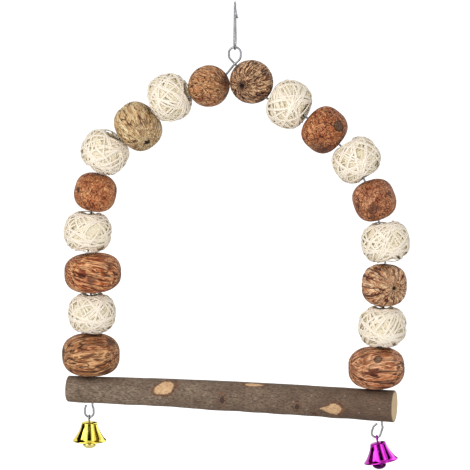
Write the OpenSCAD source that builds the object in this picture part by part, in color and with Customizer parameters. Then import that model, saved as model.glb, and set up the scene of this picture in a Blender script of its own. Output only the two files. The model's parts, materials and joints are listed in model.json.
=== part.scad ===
// Bird swing: a branch perch hung from one bent wire, which is threaded with
// dried nuts and woven vine balls, ends in two loops that carry small bells,
// and hangs by its top eye in a sprung wire clip.
// The origin is where the clip rests on a bar: the top of its inside.
// Z is up, X runs along the perch and the front faces -Y.

/* [Hanging clip] */
// Diameter of the clip wire
clip_d = 1; // [0.8:0.1:1.2]
// Outer height of the clip
clip_h = 30; // [26:1:36]
// Outer width of the clip at its round bottom
clip_w = 12; // [11:0.5:15]
// Outer width of the clip at its top
clip_top_w = 6.2; // [5.6:0.2:7]
// Depth of the latch below the inside of the top
latch_drop = 9.5; // [8:0.5:12]
// Turn of the clip on the eye, in degrees
clip_turn = 7; // [0:1:15]

/* [Arch wire] */
// Diameter of the arch wire
wire_d = 1.3; // [1.1:0.1:1.5]
// Outer width of the eye at the top
eye_w = 9; // [8:0.2:10]
// Height of the eye from its crossing to its top, on the centre line
eye_h = 10.3; // [9.6:0.1:12]
// Bend radius where the wire turns into a nut
mouth_bend_r = 4; // [3:0.5:5]
// Bend radius of the wire inside a woven ball
ball_bend_r = 14; // [10:1:20]
// Outer width of the two lower loops
loop_w = 6.9; // [6:0.1:7]
// Drop of the left loop below the perch
left_loop_h = 9; // [8.6:0.2:12]
// Length of the right loop below the perch
right_loop_h = 11; // [9:0.2:12]
// Lean of the right loop, in degrees
right_loop_lean = 18; // [0:1:22]

/* [Nuts] */
// Usual width of a nut, across its hole
nut_w = 28; // [26:0.5:29]
// Usual thickness of a nut, along its hole
nut_t = 26; // [24:0.5:28]
// Diameter of the hole through a nut
bore_d = 2.6; // [2.4:0.1:3.2]
// Depth of the furrows in a nut
furrow = 0.7; // [0:0.1:1]

/* [Vine balls] */
// Width of a ball, across the wire
ball_w = 30; // [29:0.5:33]
// Thickness of a ball, along the wire
ball_t = 25; // [24:0.5:28]
// Width of the opening that the wire goes through
ball_hole_d = 11; // [10.6:0.1:12]
// Width of the vine strand
strand_w = 2; // [1.6:0.1:2.1]
// Thickness of the vine strand
strand_t = 0.8; // [0.6:0.05:0.9]
// Height between the outer and the inner run of the strand
strand_layer = 1.7; // [1.6:0.1:2.2]

/* [Perch] */
// Diameter of the perch at its left end
perch_d_left = 17.2; // [14:0.2:20]
// Diameter of the perch at its right end
perch_d_right = 20.8; // [16:0.2:22]
// Length of the perch past the left wire hole
perch_past_left = 15.5; // [9:0.5:20]
// Length of the perch past the right wire hole
perch_past_right = 7.8; // [6:0.2:20]
// Rise of the upper edge between the wire holes
perch_bow = 0.9; // [0:0.1:3]

/* [Bells] */
// Diameter of a bell's mouth
bell_d = 21; // [18:0.2:22]
// Diameter of a bell's shoulder
bell_top_d = 9.8; // [9:0.2:11]
// Height of a bell
bell_h = 12.4; // [11.5:0.1:14]
// Thickness of the bell metal
bell_wall = 0.5; // [0.4:0.05:0.6]
// Diameter of the wire of a bell's hanger
hanger_d = 0.8; // [0.7:0.05:0.9]
// Width of a clapper
clapper_w = 8.6; // [7:0.2:9]
// Height of a clapper's knob
clapper_h = 5.6; // [4.8:0.1:6.4]
// Tilt of the purple bell on its loop, in degrees
purple_tilt = 10; // [0:1:25]
// Tilt of the clapper in the purple bell, in degrees
purple_clapper_tilt = 2; // [0:1:25]

/* [Clearances] */
// Gap between two neighbours on the wire
bead_gap = 0.35; // [0.3:0.05:0.6]
// Gap between a wire and what it hangs in
hang_gap = 0.15; // [0.1:0.05:0.2]
// Gap all round the wire in the perch
perch_hole_gap = 0.2; // [0.1:0.05:0.4]

/* [Hidden] */
$fn = 32;

// Small shared values
wire_r = wire_d / 2;
round_share = 0.97;

// Colours
steel = "#b9bcc0";
vine = "#f1e8d2";
bark = "#75675b";
gold = "#d9c24a";
purple = "#a838a6";
nut_colours = [
    ["#b06a3a", "#b5703c", "#9c5630", "#b89060", "#b07248"],
    ["#b5683c", "#a86a40", "#b0663a", "#b0603a", "#b88058"]
];

// Headings of the arch in degrees below level, from the crown outwards and down.
// Each row is one side. The first heading leads from nut 9 to ball 8, and the
// others from ball 8 to ball 6, from 6 to 4 and from 4 to 2.
crown_headings = [40.7, 46];
bore_headings = [35, 46];
leg_headings = [[17.6, 40.5, 77.4, 92.8], [29, 38.2, 69.8, 91.7]];
// Tilt of the spin axis of balls 8, 6, 4 and 2
ball_headings = [[18.5, 59, 86, 91.3], [23.5, 54.2, 81.2, 90.8]];
// Widths and thicknesses of nuts 1, 3, 5, 7 and 9, and how far outwards they sit
nut_width_shares = [[1.31, 1.29, 0.95, 1.12, 0.93], [1.27, 1.01, 0.95, 1.03, 0.97]];
nut_thick_shares = [[1.02, 0.943, 0.906, 0.97, 1], [0.99, 0.992, 0.966, 0.96, 1.045]];
nut_shift_shares = [[0.03, -0.07, 0, -0.07, 0], [-0.13, 0, 0.06, 0.04, 0]];
// How far the wire's bend lies outside a ball's middle
bend_out_share = 0.2;

// Vectors
function unit(v) = v / norm(v);
function side_sign(side) = side == 0 ? -1 : 1;
function heading(side, a) = [side_sign(side) * cos(a), 0, -sin(a)];
function outward(side, a) = [side_sign(side) * sin(a), 0, cos(a)];

// Outline of a ball or a nut: a rounded square, turned about the bead's axis
nut_powers = [2.6, 2.6, 2.6, 2.6, 2];
ball_power = 2.5;
// Crest of the winding round the ball's opening
crest_r = (ball_hole_d + strand_w) / 2;
crest_z = ball_t / 2 - strand_t / 4;
crest_angle = atan2(crest_z, crest_r);
ball_pole = crest_z / pow(1 - pow(2 * crest_r / ball_w, ball_power), 1 / ball_power);
profile_steps = 24;
ball_profile = [
    for (i = [0 : profile_steps])
        let (a = crest_angle * i / profile_steps, r = rounded(a, ball_w / 2, ball_pole, ball_power))
        [r * cos(a), r * sin(a)]
];
function rounded(a, across, along, power) =
    pow(pow(abs(cos(a)) / across, power) + pow(abs(sin(a)) / along, power), -1 / power);
// How far a ball reaches in a direction that leans a degrees from its axis
function ball_reach(a) =
    strand_t / 4 + max([for (p = ball_profile) p[1] * cos(a) + p[0] * abs(sin(a))]);

// Sizes of the nuts, where k counts 0 to 4 for nuts 1, 3, 5, 7 and 9
function nut_width(side, k) = nut_w * nut_width_shares[side][k];
function nut_thick(side, k) = nut_t * nut_thick_shares[side][k];
function crown_nut_r(side) = max(nut_width(side, 4), nut_thick(side, 4)) / 2;
// A crown nut is fattest halfway between its hole and its girth
function crown_nut_corner(side) = crown_nut_r(side) * pow(2, 1 / 2 - 1 / nut_powers[4]);

// The eye hangs in the clip's round bottom
eye_top_z = -(clip_h - 2 * clip_d) + hang_gap + wire_r;
eye_half = eye_w / 2 - wire_r;
crossing = [0, 0, eye_top_z - eye_h];
strand_offset = wire_d + hang_gap;

// The right crown nut sits close under the crossing, and the left one beside it
crown_seat = wire_d;
crown_angle = 180 - crown_headings[0] - crown_headings[1];
right_drop = crown_nut_r(1) + crown_seat;
crown_apart = crown_nut_corner(0) + crown_nut_corner(1) + bead_gap;
left_drop = right_drop * cos(crown_angle)
    + sqrt(pow(crown_apart, 2) - pow(right_drop * sin(crown_angle), 2));
crown_drops = [left_drop, right_drop];
function crown_nut(side) = crossing + crown_drops[side] * heading(side, crown_headings[side]);
mouth_out = 0.6 * wire_d / 1.3;
function mouth(side, way) = crown_nut(side)
    + way * (crown_nut_r(side) + mouth_out) * heading(side, bore_headings[side]);

// Middles of balls 8, 6, 4 and 2, one after the other down each side
function leg_length(side, i) = i == 0
    ? crown_nut_r(side) + bead_gap
        + ball_reach(leg_headings[side][0] - ball_headings[side][0])
    : ball_reach(leg_headings[side][i] - ball_headings[side][i - 1])
        + 2 * bead_gap + nut_thick(side, 4 - i)
        + ball_reach(leg_headings[side][i] - ball_headings[side][i]);
function ball_middle(side, i) = i < 0
    ? crown_nut(side)
    : ball_middle(side, i - 1) + leg_length(side, i) * heading(side, leg_headings[side][i]);

// The wire passes each ball a little outside its middle
function bend_half(side, i) =
    (i == 3 ? 90 : leg_headings[side][i + 1]) - ball_headings[side][i];
function wire_corner(side, i) = ball_middle(side, i)
    + bend_out_share * ball_t / 2 * tan(bend_half(side, i)) * outward(side, ball_headings[side][i]);

// The last run of each side is plumb and passes nut 1 and the perch
function foot(side) = ball_middle(side, 3)[2] - ball_reach(90 - ball_headings[side][3])
    - bead_gap - nut_thick(side, 0) - bead_gap;
perch_top = min(foot(0), foot(1));
hole_x = [wire_corner(0, 3)[0], wire_corner(1, 3)[0]];
// Direction of a nut's hole, and the point on the wire at the nut's middle
function nut_heading(side, k) =
    k == 0 ? 90
    : k == 4 ? bore_headings[side]
    : let (run = wire_corner(side, 4 - k) - wire_corner(side, 3 - k))
        atan2(-run[2], side_sign(side) * run[0]);
function nut_place(side, k) =
    k == 4 ? crown_nut(side)
    : let (i = 3 - k,
           a = nut_heading(side, k),
           from = wire_corner(side, i),
           reach = ball_reach(a - ball_headings[side][i]) + bead_gap + nut_thick(side, k) / 2)
        from + ((ball_middle(side, i) - from) * heading(side, a) + reach) * heading(side, a);

// Perch
perch_from = hole_x[0] - perch_past_left;
perch_to = hole_x[1] + perch_past_right;
perch_l = perch_to - perch_from;
bow_lean = 0.8;
perch_rings = 36;
perch_sides = 20;
function perch_r(x) = (perch_d_left + (perch_d_right - perch_d_left) * (x - perch_from) / perch_l) / 2;
function perch_edge(x) =
    let (v = (x - hole_x[0]) / (hole_x[1] - hole_x[0]))
    perch_top + (v <= 0 || v >= 1 ? 0 : perch_bow * sin(180 * pow(v, bow_lean)));
// Knots: place along the perch, angle up from the front, spread and height
knot_shares = [
    [0.315, 0.075, 0.05], [0.5, -0.055, 0.03], [0.704, -0.036, 0.045],
    [0.82, 0, 0.04], [0.44, -0.24, 0.07], [0.2, 0.46, 0.03]
];
knot_spread_share = 0.3;
uneven_share = 0.03;
function knot_rise(x, a) = let (r = perch_r(x)) r * max([
    for (k = knot_shares)
        let (dx = (x - perch_from - k[0] * perch_l) / r,
             da = (((a - 360 * k[1]) % 360 + 540) % 360 - 180) * PI / 180)
        k[2] * exp(-(dx * dx + da * da) / pow(knot_spread_share, 2))
]);
function perch_point(x, a) =
    let (r = perch_r(x) * (1 - uneven_share * (1 - cos(2 * a + 360 * (x - perch_from) / perch_l)) / 2)
            + knot_rise(x, a))
    [x, -r * cos(a), perch_edge(x) - perch_r(x) + r * sin(a)];
function underside(side) = perch_edge(hole_x[side]) - 2 * perch_r(hole_x[side]);

// Lower loops, drawn from the wire hole at the underside of the perch
loop_half = loop_w / 2 - wire_r;
loop_neck_shares = [0.6, 0.38];
loop_shoulder_shares = [0.34, 0.26];
loop_tip_share = 0.4;
loop_lean = [0, right_loop_lean];
loop_heights = [left_loop_h, right_loop_h];
function loop_point(side, x, z) =
    let (a = loop_lean[side])
    [hole_x[side] + x * cos(a) + z * sin(a), 0, underside(side) - x * sin(a) + z * cos(a)];
function neck(side) = loop_neck_shares[side] * loop_w;
function loop_mid_z(side) = -loop_heights[side] + wire_r + loop_half;
function loop_corners(side) =
    let (n = neck(side),
         low = -loop_heights[side] + wire_r,
         high = -loop_shoulder_shares[side] * loop_heights[side],
         tip_high = -loop_tip_share * loop_heights[side])
    [
        [hole_x[side], 0, underside(side) - wire_d],
        loop_point(side, loop_half - n / 2, high),
        loop_point(side, loop_half - n / 2, low),
        loop_point(side, -loop_half - n / 2, low),
        loop_point(side, -loop_half - n / 2, tip_high),
        loop_point(side, -n, -wire_d / 2 - bead_gap - n * sin(loop_lean[side]))
    ];
loop_radii = [wire_d, loop_half, loop_half * round_share, loop_half * round_share, loop_half];
function bell_pivot(side) = loop_point(side, -neck(side) / 2, loop_mid_z(side));

// The whole arch wire, corner by corner, from the left loop's tip to the right one's
function side_corners(side) = [
    mouth(side, 1),
    for (i = [0 : 3]) wire_corner(side, i),
    each loop_corners(side)
];
side_radii = [
    mouth_bend_r, ball_bend_r, ball_bend_r, ball_bend_r, ball_bend_r,
    each loop_radii
];
eye_rise = 43;
front_crossing = crossing - [0, strand_offset, 0];
eye_corners = [
    mouth(0, -1),
    front_crossing,
    front_crossing + eye_half * [1, 0, tan(eye_rise)],
    [eye_half, 0, eye_top_z],
    [-eye_half, 0, eye_top_z],
    crossing + eye_half * [-1, 0, tan(bore_headings[1])]
];
eye_radii = [mouth_bend_r, mouth_bend_r, for (i = [1 : 4]) eye_half * round_share];
function reversed(v) = [for (i = [len(v) - 1 : -1 : 0]) v[i]];
arch_corners = [each reversed(side_corners(0)), each eye_corners, each side_corners(1)];
arch_radii = [
    0, each reversed(side_radii), each eye_radii, each side_radii, 0
];

// Bent wire: straight runs between corners, with a round bend at each corner.
// A bend is a hair thicker than a run, and the runs end a little way inside it.
bend_share = 1.02;
lap_share = 0.05;
function corner_turn(p, i) =
    acos(max(-1, min(1, unit(p[i] - p[i - 1]) * unit(p[i + 1] - p[i]))));
function corner_cut(p, r, i) =
    i == 0 || i == len(p) - 1 ? 0 : r[i] * tan(corner_turn(p, i) / 2);

module point_z_along(v) {
    rotate([0, acos(v[2] / norm(v)), atan2(v[1], v[0])])
        children();
}

module bent_wire(p, r, d) {
    for (i = [0 : len(p) - 2]) {
        along = unit(p[i + 1] - p[i]);
        from = i == 0 ? 0 : corner_cut(p, r, i) - lap_share * d;
        to = norm(p[i + 1] - p[i])
            - (i == len(p) - 2 ? 0 : corner_cut(p, r, i + 1) - lap_share * d);
        translate(p[i] + along * from)
            point_z_along(along)
                cylinder(d = d, h = to - from);
    }
    for (i = [1 : len(p) - 2]) {
        before = unit(p[i] - p[i - 1]);
        after = unit(p[i + 1] - p[i]);
        inward = unit(after - (after * before) * before);
        axis = cross(before, inward);
        centre = p[i] - before * corner_cut(p, r, i) + inward * r[i];
        multmatrix([
            [-inward[0], before[0], axis[0], centre[0]],
            [-inward[1], before[1], axis[1], centre[1]],
            [-inward[2], before[2], axis[2], centre[2]],
            [0, 0, 0, 1]
        ])
            rotate_extrude(angle = corner_turn(p, i))
                translate([r[i], 0])
                    circle(d = d * bend_share);
    }
}

// A closed skin through rings of points, one after the other
module skin(rings) {
    n = len(rings[0]);
    last = n * (len(rings) - 1);
    polyhedron(
        points = [for (ring = rings) each ring],
        faces = [
            for (j = [0 : len(rings) - 2], i = [0 : n - 1])
                let (a = j * n + i, b = j * n + (i + 1) % n)
                each [[a, a + n, b + n], [a, b + n, b]],
            for (i = [1 : n - 2])
                each [[0, i, i + 1], [last, last + i + 1, last + i]]
        ]
    );
}

module ring_of_wire(r, d) {
    rotate_extrude()
        translate([r, 0])
            circle(d = d);
}

module place_bead(at, side, a) {
    translate(at)
        rotate([0, side_sign(side) * (90 + a), 0])
            children();
}

// Nut: a rounded body with lengthwise furrows that wind a little, drilled through
nut_rings = 11;
nut_sides = 20;
nut_cap_angle = 80;
furrow_counts = [[5, 5, 7, 4, 6], [5, 8, 6, 7, 9]];
furrow_twists = [[20, 35, 60, 30, 50], [25, 15, 45, 40, 10]];

module nut(side, k) {
    w = nut_width(side, k);
    t = nut_thick(side, k);
    shift = -side_sign(side) * nut_shift_shares[side][k] * nut_w;
    a = nut_heading(side, k);
    color(nut_colours[side][k])
        place_bead(nut_place(side, k), side, a)
            difference() {
                translate([shift, 0, 0])
                    skin([
                        for (j = [0 : nut_rings - 1])
                            let (up = nut_cap_angle * (2 * j / (nut_rings - 1) - 1),
                                 r = rounded(up, 1, 1, nut_powers[k]))
                            [
                                for (i = [0 : nut_sides - 1])
                                    let (round = 360 * i / nut_sides,
                                         wave = cos(furrow_counts[side][k] * round
                                             + furrow_twists[side][k] * sin(2 * up)),
                                         flat = 1 - furrow * (1 - wave) / w)
                                    [
                                        r * cos(up) * cos(round) * flat * w / 2,
                                        r * cos(up) * sin(round) * flat * w / 2,
                                        r * sin(up) * t / 2
                                    ]
                            ]
                    ]);
                cylinder(d = bore_d, h = 2 * t, center = true);
            }
}

// Vine ball: one strand wound round in leaning loops. It runs outside on its way up
// and inside on its way down, and changes over where a loop turns back.
ball_loops = 6;
half_loop_rings = 10;
turn_angle = 6;
ball_spin_shares = [[0, 0.13, 0.26, 0.39], [0.07, 0.2, 0.33, 0.46]];
strand_places = [
    for (h = [0 : 2 * ball_loops - 1], i = [0 : half_loop_rings - 1])
        90 + 180 * h + turn_angle + (180 - 2 * turn_angle) * i / (half_loop_rings - 1)
];
function on_ball(s) =
    let (up = asin(sin(crest_angle) * sin(s)),
         round = atan2(cos(crest_angle) * sin(s), cos(s)) + s / ball_loops,
         r = rounded(up, ball_w / 2, ball_pole, ball_power))
    [r * cos(up) * cos(round), r * cos(up) * sin(round), r * sin(up)];
function ball_normal(p) =
    let (r = norm([p[0], p[1]]),
         out = pow(2 * r / ball_w, ball_power - 1) / ball_w * 2,
         up = pow(abs(p[2]) / ball_pole, ball_power - 1) / ball_pole)
    unit([out * p[0] / r, out * p[1] / r, sign(p[2]) * up]);
function strand_ring(s) =
    let (p = on_ball(s),
         out = ball_normal(p),
         along = unit(on_ball(s + 1) - on_ball(s - 1)),
         across = unit(cross(out, along)) * strand_w / 2,
         deep = cos(s) > 0 ? 0 : strand_layer,
         top = p - out * deep,
         low = top - out * strand_t)
    [top + across, top - across, low - across, low + across];
strand_rings = [for (s = strand_places) strand_ring(s)];

module ball(side, i) {
    color(vine)
        place_bead(ball_middle(side, i), side, ball_headings[side][i])
            rotate([0, 0, 360 * ball_spin_shares[side][i]])
                skin(strand_rings);
}

// The least gap of the strand to itself, taken on points round it
function between(a, b, f) = a * (1 - f) + b * f;
measure_steps = 2;
strand_stations = [
    for (i = [0 : len(strand_rings) - 2], m = [0 : measure_steps - 1])
        let (f = m / measure_steps,
             q = [for (c = [0 : 3]) between(strand_rings[i][c], strand_rings[i + 1][c], f)])
        [each q, for (c = [0 : 2 : 3], g = [1 : 3]) between(q[c], q[c + 1], g / 4)]
];
station_middles = [for (q = strand_stations) (q[0] + q[2]) / 2];
strand_gap = min([
    for (i = [0 : len(strand_stations) - 1], j = [i + 3 * measure_steps + 1 : len(strand_stations) - 1])
        if (norm(station_middles[i] - station_middles[j]) < 2 * strand_w)
            each [for (a = strand_stations[i], b = strand_stations[j]) norm(a - b)]
]);

module perch() {
    color(bark)
        difference() {
            skin([
                for (j = [0 : perch_rings])
                    let (x = perch_from + perch_l * j / perch_rings)
                    [for (i = [0 : perch_sides - 1]) perch_point(x, -360 * i / perch_sides)]
            ]);
            for (side = [0, 1])
                translate([hole_x[side], 0, perch_top - perch_r(hole_x[side])])
                    cylinder(d = wire_d + 2 * perch_hole_gap, h = 2 * perch_d_right, center = true);
        }
}

module arch_wire() {
    color(steel)
        bent_wire(arch_corners, arch_radii, wire_d);
}

// Hanging clip: a pear of springy wire whose upper arm hooks round the lower one
clip_half = clip_w / 2 - clip_d / 2;
clip_top_half = clip_top_w / 2 - clip_d / 2;
clip_low = -clip_h + 1.5 * clip_d;
clip_high = clip_d / 2;
clip_belly_share = 0.745;
clip_neck_share = 0.12;
belly_z = -clip_belly_share * clip_h;
neck_z = -clip_neck_share * clip_h;
latch_y = clip_top_half + (clip_half - clip_top_half) * (latch_drop + neck_z) / (neck_z - belly_z);
hook_x = clip_d + hang_gap;
hook_in = clip_d / 2;
hook_out = clip_d + 2 * hang_gap;
tip_up = 2 * clip_d;
hook_bend_r = 0.7 * clip_d;

module hanger_clip() {
    arm_lean = (clip_half - clip_top_half) / (neck_z - belly_z);
    color(steel)
        rotate([0, 0, clip_turn])
            bent_wire(
                [
                    [0, latch_y - arm_lean * tip_up, -latch_drop + tip_up],
                    [0, clip_half, belly_z],
                    [0, clip_half, clip_low],
                    [0, -clip_half, clip_low],
                    [0, -clip_half, belly_z],
                    [0, -clip_top_half, neck_z],
                    [0, -clip_top_half, clip_high],
                    [0, clip_top_half, clip_high],
                    [0, clip_top_half, neck_z],
                    [hook_x, latch_y - hook_in, -latch_drop],
                    [hook_x, latch_y + hook_out, -latch_drop],
                    [-hook_in, latch_y + hook_out, -latch_drop]
                ],
                [
                    0, clip_half, clip_half * round_share, clip_half * round_share, clip_half,
                    clip_half, clip_top_half * round_share, clip_top_half * round_share,
                    clip_half, hook_bend_r, hook_bend_r, 0
                ],
                clip_d
            );
}

// Bells, drawn about the middle of the round bottom of the loop they slide in
dome_share = 0.11;
bell_flare = 1.25;
bell_steps = 8;
ring_r = 2.1 * hanger_d;
inner_ring_r = 1.9 * hanger_d;
ring_top_z = -loop_half + wire_r + hang_gap + hanger_d / 2;
crown_z = ring_top_z - 2 * ring_r - hanger_d / 2 - hang_gap;
dome_h = dome_share * bell_h;
hanger_hole_r = hanger_d / 2 + hang_gap / 2;
inner_ring_z = crown_z - bell_wall - hang_gap - hanger_d / 2 - inner_ring_r;
clapper_pivot_z = inner_ring_z - inner_ring_r;
// Outline of the metal at a distance in from its outer face
function bell_line(inset) = [
    [hanger_hole_r, crown_z - inset],
    for (i = [1 : bell_steps])
        let (a = 90 * i / bell_steps)
        [
            max(hanger_hole_r, (bell_top_d / 2 - inset) * sin(a)),
            crown_z - inset - (dome_h - inset * dome_share) * (1 - cos(a))
        ],
    for (i = [1 : bell_steps])
        let (u = i / bell_steps)
        [
            bell_top_d / 2 - inset + (bell_d - bell_top_d) / 2 * pow(u, bell_flare),
            crown_z - dome_h - (bell_h - dome_h) * u
        ]
];

module bell(side, tint, tilt) {
    color(tint)
        translate(bell_pivot(side))
            rotate([0, -tilt, 0])
                rotate_extrude($fn = 48)
                    polygon([each bell_line(0), each reversed(bell_line(bell_wall))]);
}

module bell_hanger(side, tint, tilt) {
    stem_from = inner_ring_z + inner_ring_r;
    stem_to = ring_top_z - 2 * ring_r;
    color(tint)
        translate(bell_pivot(side))
            rotate([0, -tilt, 0]) {
                translate([0, 0, ring_top_z - ring_r])
                    rotate([0, 90, 0])
                        ring_of_wire(ring_r, hanger_d);
                translate([0, 0, stem_from])
                    cylinder(d = hanger_d, h = stem_to - stem_from);
                translate([0, 0, inner_ring_z])
                    rotate([0, 90, 0])
                        ring_of_wire(inner_ring_r, hanger_d);
            }
}

// Clapper: a flattened knob on a stem with its own small ring
clapper_d = 0.85 * hanger_d;
clapper_ring_r = 1.65 * hanger_d;
clapper_drop = crown_z - bell_h - 0.36 * clapper_h;
knob_steps = 10;
function clapper_pivot(side, tilt) =
    bell_pivot(side) + clapper_pivot_z * [-sin(tilt), 0, cos(tilt)];

module clapper(side, tint, tilt, own_tilt) {
    ring_z = hanger_d / 2 + hang_gap + clapper_d / 2 - clapper_ring_r;
    knob_z = clapper_drop - clapper_pivot_z;
    color(tint)
        translate(clapper_pivot(side, tilt))
            rotate([0, -own_tilt, 0]) {
                translate([0, 0, ring_z])
                    rotate([90, 0, 0])
                        ring_of_wire(clapper_ring_r, clapper_d);
                translate([0, 0, knob_z])
                    cylinder(d = clapper_d, h = ring_z - clapper_ring_r - knob_z);
                translate([0, 0, knob_z])
                    rotate_extrude($fn = 48)
                        polygon([
                            for (i = [0 : knob_steps])
                                let (a = 180 * i / knob_steps - 90)
                                [cos(a) * clapper_w / 2, sin(a) * clapper_h / 2]
                        ]);
            }
}

echo(strand_gap = strand_gap);
echo(perch_length = perch_l, perch_top = perch_top, holes = hole_x, feet = [foot(0), foot(1)]);
echo(eye = [0, 0, eye_top_z], crossing = crossing);
for (side = [0, 1]) {
    for (k = [0 : 4])
        echo(nut = [side, 2 * k + 1], at = nut_place(side, k),
            axis = heading(side, nut_heading(side, k)));
    for (i = [0 : 3])
        echo(ball = [side, 8 - 2 * i], at = ball_middle(side, i),
            axis = heading(side, ball_headings[side][i]));
    echo(bell_pivot = bell_pivot(side));
}
echo(clappers = [clapper_pivot(0, 0), clapper_pivot(1, purple_tilt)]);

hanger_clip();
arch_wire();
perch();
nut(0, 0);  // left_nut_1
ball(0, 3);  // left_ball_2
nut(0, 1);  // left_nut_3
ball(0, 2);  // left_ball_4
nut(0, 2);  // left_nut_5
ball(0, 1);  // left_ball_6
nut(0, 3);  // left_nut_7
ball(0, 0);  // left_ball_8
nut(0, 4);  // left_nut_9
nut(1, 0);  // right_nut_1
ball(1, 3);  // right_ball_2
nut(1, 1);  // right_nut_3
ball(1, 2);  // right_ball_4
nut(1, 2);  // right_nut_5
ball(1, 1);  // right_ball_6
nut(1, 3);  // right_nut_7
ball(1, 0);  // right_ball_8
nut(1, 4);  // right_nut_9
bell(0, gold, 0);  // gold_bell
bell_hanger(0, steel, 0);  // gold_bell_hanger
clapper(0, gold, 0, 0);  // gold_clapper
bell(1, purple, purple_tilt);  // purple_bell
bell_hanger(1, purple, purple_tilt);  // purple_bell_hanger
clapper(1, purple, purple_tilt, purple_clapper_tilt);  // purple_clapper
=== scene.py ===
import json
import math

import bmesh
import bpy
import numpy as np
from mathutils import Matrix, Vector


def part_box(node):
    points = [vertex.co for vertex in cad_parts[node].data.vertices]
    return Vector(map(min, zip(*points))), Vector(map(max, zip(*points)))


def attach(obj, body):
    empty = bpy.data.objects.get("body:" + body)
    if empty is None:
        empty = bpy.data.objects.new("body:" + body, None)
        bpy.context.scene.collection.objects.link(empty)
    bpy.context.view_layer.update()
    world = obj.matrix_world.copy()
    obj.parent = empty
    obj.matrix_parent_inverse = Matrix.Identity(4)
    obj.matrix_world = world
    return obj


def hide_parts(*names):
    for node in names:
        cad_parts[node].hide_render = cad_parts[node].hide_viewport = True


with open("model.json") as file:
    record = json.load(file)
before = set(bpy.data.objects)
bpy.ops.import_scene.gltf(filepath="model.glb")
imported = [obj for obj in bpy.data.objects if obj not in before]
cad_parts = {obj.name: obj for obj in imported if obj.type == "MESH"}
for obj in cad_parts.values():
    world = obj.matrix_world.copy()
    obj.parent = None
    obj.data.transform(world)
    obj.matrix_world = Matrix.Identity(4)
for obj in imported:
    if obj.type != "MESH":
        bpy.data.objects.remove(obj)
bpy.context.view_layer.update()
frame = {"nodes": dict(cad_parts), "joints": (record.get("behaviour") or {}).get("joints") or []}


# ---------------------------------------------------------------- the picture
# The swing hangs over a white floor in white surroundings. It is seen from the
# right and a little from above, through a long lens, so that its sides stay
# parallel.

MM = 0.001


def linear(hex_colour):
    """sRGB hex to linear light: c / 12.92 near black, else ((c + 0.055) / 1.055) ^ 2.4."""
    parts = [int(hex_colour[i:i + 2], 16) / 255 for i in (1, 3, 5)]
    return tuple(c / 12.92 if c <= 0.04045 else ((c + 0.055) / 1.055) ** 2.4
                 for c in parts) + (1.0,)


def add(tree, kind, settings=None, **links):
    """Adds one node. Settings are its attributes, links its inputs by name or, as n0, n1 and n2,
    by number: a value or another node's socket."""
    made = tree.nodes.new(kind)
    for key, value in (settings or {}).items():
        setattr(made, key, value)
    for name, value in links.items():
        by_number = name[0] == "n" and name[1:].isdigit()
        socket = made.inputs[int(name[1:]) if by_number else name.replace("_", " ")]
        if isinstance(value, bpy.types.NodeSocket):
            tree.links.new(value, socket)
        else:
            socket.default_value = value
    return made


def new_material(name):
    """An empty node material: returns it with its tree and its output node."""
    material = bpy.data.materials.new(name)
    material.use_nodes = True
    material.node_tree.nodes.clear()
    out = material.node_tree.nodes.new("ShaderNodeOutputMaterial")
    return material, material.node_tree, out


def put(name, data):
    """An object for a mesh, a lamp or a camera, put into the scene."""
    made = bpy.data.objects.new(name, data)
    bpy.context.scene.collection.objects.link(made)
    return made


# The photograph is 470 pixels wide, and a pixel is 0.61 mm at the swing. The place where the
# eye rests in the clip is in the middle of its width, 47.2 pixels below its upper edge.
pixel = 0.61 * MM
picture_side = 470
eye_row = 47.2
view_turn = math.radians(13.0)
view_rise = math.radians(9.5)
camera_way = 3.0
sensor_side = 36
right = np.array([math.cos(view_turn), math.sin(view_turn), 0])
back = np.array([math.sin(view_turn) * math.cos(view_rise),
                 -math.cos(view_turn) * math.cos(view_rise), math.sin(view_rise)])
up = np.cross(back, right)
swing_pin = np.array(next(j for j in frame["joints"] if j["name"] == "swing_hinge")["pos_m"])
aim = swing_pin - up * (picture_side / 2 - eye_row) * pixel
stand = aim + back * camera_way
camera_data = bpy.data.cameras.new("long_lens")
camera_data.sensor_width = sensor_side
camera_data.lens = sensor_side * camera_way / (picture_side * pixel)
camera_data.clip_end = 40
camera = put("camera", camera_data)
camera.matrix_world = Matrix([(right[i], up[i], back[i], stand[i]) for i in range(3)]
                             + [(0, 0, 0, 1)])
bpy.context.scene.camera = camera
bpy.context.scene.view_settings.view_transform = "Standard"

# White surroundings: the camera and mirror-bright metal see white, and other surfaces get an
# even light at which colours come out as they are written.
world = bpy.data.worlds.new("white_studio")
bpy.context.scene.world = world
world.use_nodes = True
sky = world.node_tree
sky.nodes.clear()
rays = add(sky, "ShaderNodeLightPath")
looked_at = add(sky, "ShaderNodeMath", {"operation": "MAXIMUM"},
                n0=rays.outputs["Is Camera Ray"], n1=rays.outputs["Is Glossy Ray"])
level = add(sky, "ShaderNodeMapRange", Value=looked_at.outputs[0], To_Min=0.5, To_Max=1.0)
glow = add(sky, "ShaderNodeBackground", Color=(1, 1, 1, 1), Strength=level.outputs[0])
add(sky, "ShaderNodeOutputWorld", Surface=glow.outputs[0])

swing_middle = (0, 0, -0.15)


def softbox(name, place, size, watts):
    """A square lamp at a place, turned so that it faces the middle of the swing."""
    lamp = bpy.data.lights.new(name, "AREA")
    lamp.size = size
    lamp.energy = watts
    made = put(name, lamp)
    made.location = place
    facing = Vector(swing_middle) - Vector(place)
    made.rotation_euler = facing.to_track_quat("-Z", "Y").to_euler()


softbox("window_front", (0.35, -2.3, 0.75), 1.3, 34)
softbox("window_left", (-1.6, -1.0, 0.9), 0.9, 8)


def sheet(name, corners, material):
    """A flat sheet of the set, from its four corners in order round it."""
    mesh = bpy.data.meshes.new(name)
    mesh.from_pydata(corners, [], [(0, 1, 2, 3)])
    mesh.materials.append(material)
    return put(name, mesh)


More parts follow.
